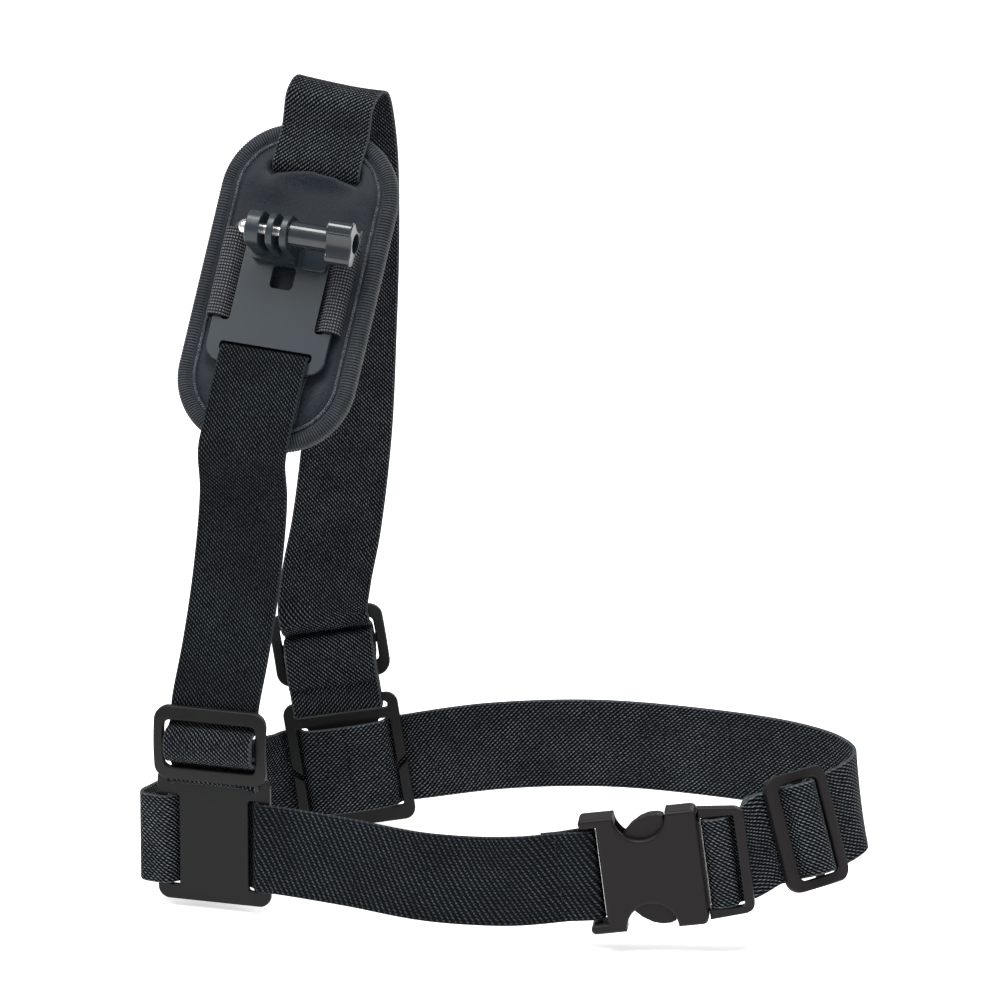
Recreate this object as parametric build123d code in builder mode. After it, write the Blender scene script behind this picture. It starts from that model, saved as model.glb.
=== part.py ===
from build123d import *
from math import cos, radians, sin
import os

os.makedirs("parts", exist_ok=True)

# Shoulder harness with a chest camera mount. Millimetres, +Z up, -Y to the wearer's front.
# Places are measured from the belt's left turn at belt mid-height, then moved so that the
# model's origin is the shoulder saddle, the underside of the fold at the top of the strap.
SADDLE = Vector(55.0, 94.0, 297.7)

# Webbing
WEB_W = 38.0
WEB_T = 1.6
GRIP_W = 38.0
GRIP_T = 1.4

# Hook plates
PLATE_W = 49.0
PLATE_LOW = -26.5
PLATE_TOP = 30.0
PLATE_T = 2.5
PLATE_R = 5.0
PLATE_EDGE_R = 0.6
SIDE_SLOT_X = 17.5
SIDE_SLOT_Y = -0.6
SIDE_SLOT_W = 5.0
SIDE_SLOT_H = 39.0
STRAP_SLOT_Y = 24.9
STRAP_SLOT_H = 3.2
STRAP_SLOT_W = 40.0
SIDE_BAR_X = 22.5
SLIT_W = 2.2
SLIT_ANGLE = 40.0

# Sliders
SLIDER_W = 48.5
SLIDER_H = 31.5
SLIDER_T = 3.0
SLIDER_R = 6.0
SLIDER_ARCH = 55.0
SLIDER_EDGE_R = 0.8
WINDOW_W = 39.8
WINDOW_H = 19.8
CENTRE_BAR_H = 3.6
CENTRE_BAR_T = 1.8

# Shoulder pad
PAD_W = 75.5
PAD_H = 137.5
PAD_R = 30.0
PAD_T = 5.5
BINDING_W = 6.5
BINDING_LIP = 0.7
TOPSTITCH_IN = 7.4
TOPSTITCH_R = 0.45
SLIT_X = 1.0
SLIT_Y = 46.5
SLIT_LENGTH = 40.0
SLIT_H = 8.0
POCKET_LOW = 34.0
POCKET_Z = -0.5
POCKET_T = 2.2

# Camera mount plate, placed in the pad's plane
MOUNT_X = -1.0
MOUNT_Z = 6.4
MOUNT_W = 51.4
MOUNT_LOW = -36.5
MOUNT_TOP = 25.0
MOUNT_T = 2.2
MOUNT_R = 7.0
GRIP_SLOT_X = 20.5
GRIP_SLOT_W = 4.2
GRIP_SLOT_H = 40.0
GRIP_Y = 1.0
FRONT_SLOT_Y = -29.8
FRONT_SLOT_W = 40.0
FRONT_SLOT_H = 4.0
PEEP_W = 10.0
PEEP_Y = 2.1
MOUNT_EDGE_R = 0.4
BOSS_X = 11.3
BOSS_Y = 12.5
BOSS_W = 10.5
BOSS_H = 12.0
BOSS_T = 1.5

# Camera fingers and thumb screw; the screw's axis lies along the pad's width
AXIS_Y = 17.0
AXIS_Z = 23.9
FINGER_R = 7.5
FINGER_START = -14.5
NUT_FINGER_W = 6.0
FINGER_W = 3.0
FINGER_GAP = 3.05
FINGER_EDGE_R = 0.6
NECK_LOW = 7.5
FOOT_T = 4.5
SCREW_R = 2.5
SCREW_FIT = 0.08
NUT_AF = 8.0
NUT_T = 4.0
DOME_R = 3.2
DOME_L = 4.4
SLEEVE_R = 5.4
SLEEVE_L = 16.5
KNOB_FIT = 0.03
KNOB_R = 10.2
KNOB_L = 11.0
LOBE_R = 4.4
KNOB_CORE_R = 6.9
SCOOP_R = 9.0
SCOOP_OUT = 14.6
HOLLOW_R = 4.2
HOLLOW_L = 6.0
SHANK_IN = 2.5
KNOB_EDGE_R = 0.8

# Side-release buckle, x from the socket's strap end to the plug's strap end
SOCKET_L = 41.0
SOCKET_HALF = 24.5
SOCKET_T = 12.0
CAVITY_X = 5.0
CAVITY_HALF = 21.3
CAVITY_T = 7.2
SOCKET_R = 2.5
SOCKET_EDGE_R = 1.6
NOTCH_X = 18.0
NOTCH_R = 10.6
NOTCH_DEEP = 10.8
LUG_L = 7.0
LUG_H = 4.0
LUG_R = 1.9
LUG_IN = 6.0
LUG_X = (LUG_IN - LUG_L) / 2
STRAP_BAR_X = -4.2
STRAP_BAR_R = 1.7
PLUG_END = 60.0
PLUG_HALF = 22.6
PLUG_T = 6.2
FRAME_T = 4.4
FRAME_EDGE_R = 0.8
PLUG_BAR_X = 47.5
PLUG_BAR_W = 4.6
PLUG_BAR_T = 2.6
PLUG_WINDOW_X = 49.0
PLUG_WINDOW_L = 14.2
PLUG_WINDOW_W = 39.6
TONGUE_X = 23.0
TONGUE_L = 30.0
TONGUE_W = 6.0
BASE_X = 39.0
BASE_L = 6.0
BASE_W = 37.0
ARM_EDGE_R = 0.5
ARM_ROOT_X = 37.0
ARM_ROOT_Y = 13.5


def stance(x, y, z, yaw=0.0, rise=0.0, lean=0.0):
    """Plane with x along a belt run, y up across it and z towards the outside of the harness."""
    turn, climb, tip = radians(yaw), radians(rise), radians(lean)
    along = Vector(cos(turn) * cos(climb), sin(turn) * cos(climb), sin(climb))
    upright = Vector(-cos(turn) * sin(climb), -sin(turn) * sin(climb), cos(climb))
    outward = along.cross(upright) * cos(tip) + upright * sin(tip)
    return Plane(Vector(x, y, z) - SADDLE, x_dir=along, z_dir=outward)


def turned(plane):
    """The same place with its y along the belt, for a slider that lies across the belt."""
    return Plane(plane.origin, x_dir=plane.y_dir * -1, z_dir=plane.z_dir)


FRONT_HOOK = stance(29.0, -1.0, 0.0)
FRONT_SLIDER = stance(29.8, -8.2, 42.6)
PAD = stance(42.0, 58.0, 221.0, rise=-4.5, lean=30.0)
REAR_HOOK = stance(49.0, 112.0, 0.0, yaw=195.0, rise=-9.0)
REAR_SLIDER = stance(38.5, 116.8, 51.4, yaw=195.0, rise=-9.0)
BUCKLE = stance(195.6, 0.0, 3.0, yaw=13.0, rise=7.5)
BELT_SLIDER = turned(stance(271.2, 38.4, 17.4, yaw=55.0, rise=3.0, lean=20.0))


def up_run(plane, profile, shift=0.0):
    """Stations of webbing that runs along the plane's y, from (y, z) pairs."""
    return [(plane.from_local_coords(Vector(shift, y, z)), plane.x_dir) for y, z in profile]


def side_run(plane, profile, shift=0.0):
    """Stations of webbing that runs along the plane's x, from (x, z) pairs."""
    return [(plane.from_local_coords(Vector(x, shift, z)), plane.y_dir) for x, z in profile]


def free_run(points):
    """Stations of webbing between fittings, from (x, y, z, width direction) entries."""
    return [(Vector(x, y, z) - SADDLE, Vector(*across)) for x, y, z, across in points]


def flipped(stations):
    """The same stations with their width direction the other way round."""
    return [(point, across * -1) for point, across in stations]


def save(piece, label):
    piece.part.label = label
    export_step(piece.part, f"parts/{label}.step")


def lay_strap(spans, width=WEB_W, thick=WEB_T):
    """Save one strap's named spans in order, each starting on the section that ends the last.

    Each section is mitred to the runs on both its sides, so that the thickness stays even.
    """
    chain = [station for label, stations in spans for station in stations]
    points = [point for point, across in chain]
    steps = [(b - a).normalized() for a, b in zip(points, points[1:])]
    sections = list(zip(chain, steps[:1] + steps, steps + steps[-1:]))
    first = 0
    end = 0
    for label, stations in spans:
        end += len(stations)
        with BuildPart() as run:
            for (point, across), before, after in sections[first:end]:
                along = (before + after).normalized()
                side = (across - along * across.dot(along)).normalized()
                with BuildSketch(Plane(point, x_dir=side, z_dir=along)):
                    Rectangle(width, thick / along.dot(after))
            loft(ruled=True)
        save(run, label)
        first = end - 1


def hook_plate(base):
    """Plate with a strap slot at the top and a slit slot on each side for the belt."""
    with BuildPart() as plate:
        with BuildSketch(base.offset(-PLATE_T / 2)):
            with Locations((0, (PLATE_TOP + PLATE_LOW) / 2)):
                RectangleRounded(PLATE_W, PLATE_TOP - PLATE_LOW, PLATE_R)
            with Locations((0, STRAP_SLOT_Y)):
                RectangleRounded(STRAP_SLOT_W, STRAP_SLOT_H, 1.5, mode=Mode.SUBTRACT)
            for side in (-1, 1):
                with Locations((side * SIDE_SLOT_X, SIDE_SLOT_Y)):
                    RectangleRounded(SIDE_SLOT_W, SIDE_SLOT_H, 1.2, mode=Mode.SUBTRACT)
                with Locations((side * SIDE_BAR_X, -1)):
                    Rectangle(12, SLIT_W, rotation=side * SLIT_ANGLE, mode=Mode.SUBTRACT)
        extrude(amount=PLATE_T)
        for rim in (0, -1):
            face = plate.faces().sort_by(Axis(base.origin, base.z_dir))[rim]
            fillet(face.outer_wire().edges(), PLATE_EDGE_R)
    return plate


def slider(base):
    """Arched three-bar slider; the centre bar lies in its window."""
    hoop = Plane(base.origin, x_dir=base.y_dir, z_dir=base.x_dir)
    with BuildPart() as frame:
        with BuildSketch(hoop):
            with Locations((0, -SLIDER_ARCH)):
                Circle(SLIDER_ARCH + SLIDER_T / 2)
                Circle(SLIDER_ARCH - SLIDER_T / 2, mode=Mode.SUBTRACT)
        extrude(amount=SLIDER_W / 2, both=True)
        with BuildSketch(base.offset(-8)):
            RectangleRounded(SLIDER_W, SLIDER_H, SLIDER_R)
            RectangleRounded(WINDOW_W, WINDOW_H, 2.5, mode=Mode.SUBTRACT)
        extrude(amount=12, mode=Mode.INTERSECT)
        fillet(frame.edges().filter_by(GeomType.LINE, reverse=True), SLIDER_EDGE_R)
        with BuildSketch(base.offset(-CENTRE_BAR_T / 2)):
            Rectangle(WINDOW_W + 2, CENTRE_BAR_H)
        extrude(amount=CENTRE_BAR_T)
    return frame


# How webbing weaves through the fittings, as (run, outward) pairs in each fitting's plane
PLATE_WEAVE = [(-27, 2.5), (-19.6, 2.5), (-15.4, -2.5), (15.4, -2.5), (19.6, 2.5), (27, 2.5)]
GRIP_WEAVE = [(-27.9, 3.2), (-27.7, 7.2), (-26.2, 8.6), (-22.6, 8.6), (-18.6, 4.3)]
SLIDER_BIGHT = [
    (16, -5.4), (10.4, -4.8), (7.2, -1.5), (5.9, 2.6), (3.1, 4.9), (-3.1, 4.9),
    (-5.9, 2.6), (-7.2, -1.5), (-10.4, -4.8), (-12.8, -4.9),
]
SLIDER_SEWN = [
    (-12.6, -9.6), (-9.8, -8.8), (-5.2, -3.4), (-3.9, -1.0), (-3.4, 0.9), (-2.0, 2.0), (2.0, 2.0),
    (3.4, 0.9), (3.8, -1.0), (3.0, -3.6), (0.6, -6.0), (-4.2, -8.2), (-9.4, -11.0), (-15, -11.4),
]
HOOK_TURN = [(27.6, 2.5), (25.5, 2.2), (24.6, 0), (25.5, -2.2), (27.6, -2.5)]
PLUG_WRAP = [
    (58.5, -4.4), (54.2, -2.6), (52.4, 1.5), (49.6, 2.95), (45.6, 2.95),
    (43.5, 1.4), (43.2, -1.5), (44.6, -4.6), (48, -6.0), (58.5, -6.9),
]
SOCKET_FOLD = [
    (-30, 0.95), (-16, 0.95), (-9.5, 2.2), (-4.2, 2.85), (-2.1, 1.95), (-1.4, 0),
    (-2.1, -1.95), (-4.2, -2.85), (-9.5, -2.2), (-16, -0.95), (-23, -0.95),
]


# Hook plates and sliders
for label, base in (("front_hook_plate", FRONT_HOOK), ("rear_hook_plate", REAR_HOOK)):
    save(hook_plate(base), label)
for label, base in (
    ("front_slider", FRONT_SLIDER), ("rear_slider", REAR_SLIDER), ("belt_slider", BELT_SLIDER),
):
    save(slider(base), label)

# Shoulder pad: a foam core in smooth cloth, with a slit and a pocket below it for the strap's end
with BuildPart() as pad_body:
    with BuildSketch(PAD.offset(-PAD_T / 2)):
        RectangleRounded(PAD_W - 2, PAD_H - 2, PAD_R - 1)
    extrude(amount=PAD_T)
    with BuildSketch(PAD.offset(POCKET_Z - POCKET_T / 2)):
        with Locations((SLIT_X, SLIT_Y)):
            RectangleRounded(SLIT_LENGTH, SLIT_H, 2)
    extrude(amount=PAD_T, mode=Mode.SUBTRACT)
    with BuildSketch(PAD.offset(POCKET_Z - POCKET_T / 2)):
        with Locations((SLIT_X, (SLIT_Y + POCKET_LOW) / 2)):
            Rectangle(SLIT_LENGTH, SLIT_Y - POCKET_LOW)
    extrude(amount=POCKET_T, mode=Mode.SUBTRACT)
save(pad_body, "pad_body")

# Edge tape folded round the pad, flush with its back
with BuildPart() as pad_binding:
    with BuildSketch(PAD.offset(-PAD_T / 2)):
        RectangleRounded(PAD_W, PAD_H, PAD_R)
        RectangleRounded(
            PAD_W - 2 * BINDING_W, PAD_H - 2 * BINDING_W, PAD_R - BINDING_W, mode=Mode.SUBTRACT
        )
    extrude(amount=PAD_T + BINDING_LIP)
    with BuildSketch(PAD.offset(-PAD_T / 2)):
        RectangleRounded(PAD_W - 2, PAD_H - 2, PAD_R - 1)
    extrude(amount=PAD_T, mode=Mode.SUBTRACT)
save(pad_binding, "pad_binding")

# Raised topstitch just inside the tape
with BuildPart() as pad_topstitch:
    with BuildSketch(PAD.offset(PAD_T / 2)):
        RectangleRounded(
            PAD_W - 2 * TOPSTITCH_IN + 2 * TOPSTITCH_R,
            PAD_H - 2 * TOPSTITCH_IN + 2 * TOPSTITCH_R,
            PAD_R - TOPSTITCH_IN + TOPSTITCH_R,
        )
        RectangleRounded(
            PAD_W - 2 * TOPSTITCH_IN - 2 * TOPSTITCH_R,
            PAD_H - 2 * TOPSTITCH_IN - 2 * TOPSTITCH_R,
            PAD_R - TOPSTITCH_IN - TOPSTITCH_R,
            mode=Mode.SUBTRACT,
        )
    extrude(amount=2 * TOPSTITCH_R)
save(pad_topstitch, "pad_topstitch")

# Ribbed webbing sewn across the pad, woven through the mount plate's side slots
grip_path = [(MOUNT_X + x, z) for x, z in GRIP_WEAVE]
grip_path += [(MOUNT_X - x, z) for x, z in reversed(GRIP_WEAVE)]
with BuildPart() as pad_webbing:
    with BuildSketch(Plane(PAD.from_local_coords(Vector(0, GRIP_Y, 0)), PAD.x_dir, PAD.y_dir * -1)):
        with BuildLine() as grip_line:
            Polyline(*grip_path)
        trace(grip_line.line, GRIP_T)
    extrude(amount=GRIP_W / 2, both=True)
save(pad_webbing, "pad_webbing")

# Camera mount plate with three fingers
SCREW_PLANE = Plane(
    PAD.from_local_coords(Vector(0, AXIS_Y, AXIS_Z)), x_dir=PAD.y_dir, z_dir=PAD.x_dir
)
FINGERS_END = FINGER_START + NUT_FINGER_W + 2 * (FINGER_GAP + FINGER_W)
NECK_Z = MOUNT_Z + MOUNT_T / 2
FINGERS = (
    (FINGER_START, NUT_FINGER_W),
    (FINGER_START + NUT_FINGER_W + FINGER_GAP, FINGER_W),
    (FINGERS_END - FINGER_W, FINGER_W),
)
with BuildPart() as mount_plate:
    with BuildSketch(PAD.offset(MOUNT_Z - MOUNT_T / 2)):
        with Locations((MOUNT_X, (MOUNT_TOP + MOUNT_LOW) / 2)):
            RectangleRounded(MOUNT_W, MOUNT_TOP - MOUNT_LOW, MOUNT_R)
        with Locations((MOUNT_X, FRONT_SLOT_Y)):
            RectangleRounded(FRONT_SLOT_W, FRONT_SLOT_H, 1.5, mode=Mode.SUBTRACT)
        with Locations((MOUNT_X, PEEP_Y)):
            RectangleRounded(PEEP_W, PEEP_W, 2, mode=Mode.SUBTRACT)
        with Locations((MOUNT_X - GRIP_SLOT_X, GRIP_Y), (MOUNT_X + GRIP_SLOT_X, GRIP_Y)):
            RectangleRounded(GRIP_SLOT_W, GRIP_SLOT_H, 1.5, mode=Mode.SUBTRACT)
    extrude(amount=MOUNT_T)
    face = mount_plate.faces().sort_by(Axis(PAD.origin, PAD.z_dir))[-1]
    fillet(face.outer_wire().edges(), MOUNT_EDGE_R)
    with BuildSketch(PAD.offset(NECK_Z)):
        with Locations((BOSS_X, BOSS_Y)):
            RectangleRounded(BOSS_W, BOSS_H, 2)
    extrude(amount=BOSS_T)
    fillet(mount_plate.faces().sort_by(Axis(PAD.origin, PAD.z_dir))[-1].edges(), MOUNT_EDGE_R)
    # Each finger is a round head on a straight stem; one foot joins the three
    for start, width in FINGERS:
        with BuildSketch(SCREW_PLANE.offset(start)):
            Circle(FINGER_R)
            with Locations((0, (NECK_Z - AXIS_Z) / 2)):
                Rectangle(2 * FINGER_R, AXIS_Z - NECK_Z)
        extrude(amount=width)
    heads = mount_plate.edges().filter_by(GeomType.CIRCLE)
    heads = heads.filter_by(lambda edge: abs(edge.radius - FINGER_R) < 0.001)
    fillet(heads, FINGER_EDGE_R)
    with BuildSketch(SCREW_PLANE.offset(FINGER_START)):
        with Locations(((NECK_LOW - AXIS_Y + FINGER_R) / 2, NECK_Z - AXIS_Z + FOOT_T / 2)):
            Rectangle(FINGER_R + AXIS_Y - NECK_LOW, FOOT_T)
    extrude(amount=FINGERS_END - FINGER_START)
    with BuildSketch(SCREW_PLANE.offset(FINGER_START)):
        Circle(SCREW_R + SCREW_FIT)
    extrude(amount=FINGERS_END - FINGER_START, mode=Mode.SUBTRACT)
    with BuildSketch(SCREW_PLANE.offset(FINGER_START)):
        RegularPolygon(NUT_AF / 2 + 0.05, 6, major_radius=False)
    extrude(amount=NUT_T, mode=Mode.SUBTRACT)
save(mount_plate, "mount_plate")

# Domed nut held in the first finger's hexagonal seat
with BuildPart() as cap_nut:
    with BuildSketch(SCREW_PLANE.offset(FINGER_START)):
        RegularPolygon(NUT_AF / 2, 6, major_radius=False)
    extrude(amount=NUT_T)
    with BuildSketch(SCREW_PLANE.offset(FINGER_START)):
        Circle(DOME_R)
    extrude(amount=-DOME_L)
    fillet(cap_nut.faces().sort_by(Axis(SCREW_PLANE.origin, SCREW_PLANE.z_dir))[0].edges(), 2.6)
    with BuildSketch(SCREW_PLANE.offset(FINGER_START - DOME_L + 1.6)):
        Circle(SCREW_R + SCREW_FIT / 2)
    extrude(amount=DOME_L + NUT_T - 1.6, mode=Mode.SUBTRACT)
save(cap_nut, "cap_nut")

# Thumb screw: a steel shank in a sleeved three-lobed knob
SHANK_START = FINGER_START - 0.5
SLEEVE_START = FINGERS_END + 0.2
KNOB_START = SLEEVE_START + SLEEVE_L
with BuildPart() as screw_shank:
    with BuildSketch(SCREW_PLANE.offset(SHANK_START)):
        Circle(SCREW_R)
    extrude(amount=KNOB_START + SHANK_IN - SHANK_START)
    chamfer(screw_shank.faces().sort_by(Axis(SCREW_PLANE.origin, SCREW_PLANE.z_dir))[0].edges(), 0.5)
save(screw_shank, "screw_shank")

with BuildPart() as screw_knob:
    with BuildSketch(SCREW_PLANE.offset(KNOB_START)):
        Circle(KNOB_CORE_R)
        with PolarLocations(KNOB_R - LOBE_R, 3, start_angle=60):
            Circle(LOBE_R)
        make_hull()
    extrude(amount=KNOB_L)
    with BuildSketch(SCREW_PLANE.offset(KNOB_START)):
        with PolarLocations(SCOOP_OUT, 3, start_angle=0):
            Circle(SCOOP_R)
    extrude(amount=KNOB_L, mode=Mode.SUBTRACT)
    fillet(screw_knob.edges(), KNOB_EDGE_R)
    with BuildSketch(SCREW_PLANE.offset(SLEEVE_START)):
        Circle(SLEEVE_R)
    extrude(amount=SLEEVE_L + 1)
    with BuildSketch(SCREW_PLANE.offset(KNOB_START + KNOB_L - HOLLOW_L)):
        Circle(HOLLOW_R)
    extrude(amount=HOLLOW_L, mode=Mode.SUBTRACT)
    with BuildSketch(SCREW_PLANE.offset(SLEEVE_START)):
        Circle(SCREW_R + KNOB_FIT)
    extrude(amount=SLEEVE_L + SHANK_IN + 2 * KNOB_FIT, mode=Mode.SUBTRACT)
save(screw_knob, "screw_knob")

# Front strap: looped round the mount plate's bottom bar, then down to the front slider, round
# the hook plate's top bar and back up to the slider, where it is sewn round the centre bar
MOUNT_LOOP = [
    (-57, 6.3), (-46, 6.2), (-41, 5.6), (-36, 4.2), (-31.0, 4.4), (-29.6, 6.4), (-31.0, 8.4),
    (-34, 8.8), (-42, 8.7), (-54, 8.6), (-64, 8.0), (-74, 6.2),
]
ACROSS_FRONT = (1, 0, 0)
ACROSS_ARCH = (0.991, 0, -0.13)
chest_free = [
    (36.0, 18.0, 143, (0.999, 0, -0.04)),
    (34.2, 14.5, 111, (1, 0, -0.02)),
    (32.6, 5.0, 82, ACROSS_FRONT),
]
lay_strap([
    ("front_strap", up_run(PAD, MOUNT_LOOP, MOUNT_X) + free_run(chest_free)),
    (
        "front_strap_adjuster",
        up_run(FRONT_SLIDER, SLIDER_BIGHT)
        + up_run(FRONT_HOOK, HOOK_TURN, 0.8)
        + up_run(FRONT_SLIDER, SLIDER_SEWN),
    ),
])

# Shoulder strap: from behind the pad, out of its slit, over the shoulder and down the back
SLIT_RUN = [
    (0.9, 36, -0.5), (0.9, 43.6, -0.5), (1.0, 46.6, 0.4), (1.1, 49.0, 3.0), (1.3, 51.8, 4.8),
    (1.5, 57, 5.4), (2.0, 66, 5.8),
]
slit_run = []
for x, y, z in SLIT_RUN:
    slit_run.append((PAD.from_local_coords(Vector(x, y, z)), PAD.x_dir))
ARCH_Y = 94.0
ARCH_Z = 290.5
ARCH_R = 8.0
ARCH_TURNS = (165, 140, 115, 90, 65, 40, 15)
arch = []
for turn, x in zip(ARCH_TURNS, (50.2, 50.8, 51.3, 51.8, 52.2, 52.7, 53.1)):
    swing = radians(turn)
    arch.append((x, ARCH_Y + ARCH_R * cos(swing), ARCH_Z + ARCH_R * sin(swing), ACROSS_ARCH))
rear_free = [
    (54.2, 106.0, 272, (0.998, 0, -0.06)),
    (53.0, 111.0, 235, (0.999, 0.02, 0)),
    (50.0, 115.0, 190, (0.995, 0.08, 0.05)),
    (47.0, 116.5, 145, (0.985, 0.14, 0.09)),
    (43.0, 113.5, 105, (0.97, 0.2, 0.12)),
    (39.4, 111.0, 83, (0.96, 0.24, 0.14)),
]
lay_strap([
    ("shoulder_strap_front", slit_run + free_run(arch[:4])),
    ("shoulder_strap_rear", free_run(arch[4:] + rear_free)),
    (
        "rear_strap_adjuster",
        flipped(
            up_run(REAR_SLIDER, SLIDER_BIGHT)
            + up_run(REAR_HOOK, HOOK_TURN, 0.8)
            + up_run(REAR_SLIDER, SLIDER_SEWN)
        ),
    ),
])

# Belt: sewn round the socket's bar, through both hook plates, round the right turn to the
# slider, round the plug's bar and back to the slider, where it is sewn round the centre bar
UPRIGHT = (0, 0, 1)
front_free = [
    (148, -5.2, -4.0, (-0.07, 0, 1)),
    (120, -6.2, -4.4, (-0.02, 0, 1)),
    (88, -4.6, -2.2, UPRIGHT),
]
left_turn = [
    (-1.6, -2.4, -0.6, UPRIGHT),
    (-3.4, 1.5, -0.6, UPRIGHT),
    (-2.6, 8.0, -0.8, UPRIGHT),
    (4.0, 45.0, -2.0, UPRIGHT),
    (12.0, 82.0, -3.5, (0.03, 0, 1)),
    (17.5, 101.0, -4.6, (0.1, 0, 1)),
]
rear_run = [
    (112, 118, 13, (-0.12, 0, 1)),
    (158, 117, 19, (-0.04, 0, 1)),
    (205, 113, 21, UPRIGHT),
    (245, 104, 22, (0, 0, 1)),
    (269, 92, 22, (-0.05, 0, 1)),
    (281, 78, 21.5, (-0.12, 0.02, 1)),
    (282.6, 65, 20.0, (-0.22, 0.08, 1)),
]
front_crossing = side_run(FRONT_HOOK, PLATE_WEAVE, -0.6)[::-1]
rear_crossing = side_run(REAR_HOOK, PLATE_WEAVE, -0.6)[::-1]
lay_strap([
    ("belt_socket_fold", side_run(BUCKLE, SOCKET_FOLD)[::-1]),
    ("belt_front_run", free_run(front_free) + front_crossing[:1]),
    ("belt_front_crossing", front_crossing[1:]),
    ("belt_left_turn", free_run(left_turn) + rear_crossing[:1]),
    ("belt_rear_crossing", rear_crossing[1:]),
    ("belt_rear_run", free_run(rear_run)),
    (
        "belt_adjuster",
        flipped(up_run(BELT_SLIDER, SLIDER_BIGHT + [(-17, -5.4)]))
        + side_run(BUCKLE, PLUG_WRAP)
        + flipped(up_run(BELT_SLIDER, [(-17, -10.2)] + SLIDER_SEWN)),
    ),
])

# Buckle socket: a flat shell with a finger notch on each side and a bar for the belt
with BuildPart() as buckle_socket:
    with BuildSketch(BUCKLE.offset(-SOCKET_T / 2)):
        with Locations((SOCKET_L / 2, 0)):
            RectangleRounded(SOCKET_L, 2 * SOCKET_HALF, SOCKET_R)
        with Locations((LUG_X, SOCKET_HALF - LUG_H / 2), (LUG_X, LUG_H / 2 - SOCKET_HALF)):
            RectangleRounded(LUG_L + LUG_IN, LUG_H, LUG_R)
        with Locations((NOTCH_X, SOCKET_HALF), (NOTCH_X, -SOCKET_HALF)):
            Ellipse(NOTCH_R, NOTCH_DEEP, mode=Mode.SUBTRACT)
    extrude(amount=SOCKET_T)
    for rim in (0, -1):
        face = buckle_socket.faces().sort_by(Axis(BUCKLE.origin, BUCKLE.z_dir))[rim]
        fillet(face.outer_wire().edges(), SOCKET_EDGE_R)
    with BuildSketch(BUCKLE.offset(-CAVITY_T / 2)):
        with Locations(((CAVITY_X + SOCKET_L) / 2, 0)):
            Rectangle(SOCKET_L - CAVITY_X, 2 * CAVITY_HALF)
    extrude(amount=CAVITY_T, mode=Mode.SUBTRACT)
    with BuildSketch(Plane(BUCKLE.origin, x_dir=BUCKLE.x_dir, z_dir=BUCKLE.y_dir)):
        with Locations((STRAP_BAR_X, 0)):
            Circle(STRAP_BAR_R)
    extrude(amount=SOCKET_HALF - LUG_H / 2, both=True)
save(buckle_socket, "buckle_socket")

# Buckle plug: a guide tongue and base inside the socket, and a strap frame outside it
FRAME_OUTLINE = [
    (SOCKET_L + 0.4, SOCKET_HALF - 0.6), (PLUG_END - 3.4, PLUG_HALF), (PLUG_END - 1.4, PLUG_HALF - 0.9),
    (PLUG_END - 0.3, PLUG_HALF - 2.2), (PLUG_END, PLUG_HALF - 3.8),
]
frame_outline = FRAME_OUTLINE + [(x, -y) for x, y in reversed(FRAME_OUTLINE)]
with BuildPart() as buckle_plug:
    with BuildSketch(BUCKLE.offset(-FRAME_T / 2)):
        with BuildLine():
            Polyline(*frame_outline, close=True)
        make_face()
        with Locations((PLUG_WINDOW_X, 0)):
            RectangleRounded(PLUG_WINDOW_L, PLUG_WINDOW_W, 1.5, mode=Mode.SUBTRACT)
    extrude(amount=FRAME_T)
    for rim in (0, -1):
        face = buckle_plug.faces().sort_by(Axis(BUCKLE.origin, BUCKLE.z_dir))[rim]
        fillet(face.outer_wire().edges(), FRAME_EDGE_R)
    with BuildSketch(BUCKLE.offset(-PLUG_T / 2)):
        with Locations((TONGUE_X, 0)):
            Rectangle(TONGUE_L, TONGUE_W)
        with Locations((BASE_X, 0)):
            Rectangle(BASE_L, BASE_W)
    extrude(amount=PLUG_T)
    with BuildSketch(BUCKLE.offset(-PLUG_BAR_T / 2)):
        with Locations((PLUG_BAR_X, 0)):
            Rectangle(PLUG_BAR_W, PLUG_WINDOW_W + 2)
    extrude(amount=PLUG_BAR_T)
save(buckle_plug, "buckle_plug")


ARM_OUTLINE = [
    (ARM_ROOT_X - 1.6, ARM_ROOT_Y - 2), (ARM_ROOT_X - 1.6, ARM_ROOT_Y + 2.4), (28.2, 17.4),
    (27.6, 22.4), (25.4, 23.2), (21.8, 23.2), (18.2, 22.1), (14.2, 19.6), (10.6, 16.0), (9.2, 13.6),
    (11.0, 12.2), (22.0, 13.2),
]


def latch_arm(side):
    """Springy arm with a barbed head that fills the socket's finger notch."""
    with BuildPart() as arm:
        with BuildSketch(BUCKLE.offset(-PLUG_T / 2)):
            with BuildLine():
                Polyline(*[(x, side * y) for x, y in ARM_OUTLINE], close=True)
            make_face()
        extrude(amount=PLUG_T)
        for rim in (0, -1):
            face = arm.faces().sort_by(Axis(BUCKLE.origin, BUCKLE.z_dir))[rim]
            fillet(face.outer_wire().edges(), ARM_EDGE_R)
    return arm


save(latch_arm(1), "latch_arm_upper")
save(latch_arm(-1), "latch_arm_lower")
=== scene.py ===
"""Looks of the camera shoulder harness: webbing, pad, stitching and finishes round the CAD frame."""

import math

import bmesh
import bpy
import numpy as np
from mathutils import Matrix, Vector
from mathutils.geometry import tessellate_polygon


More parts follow.
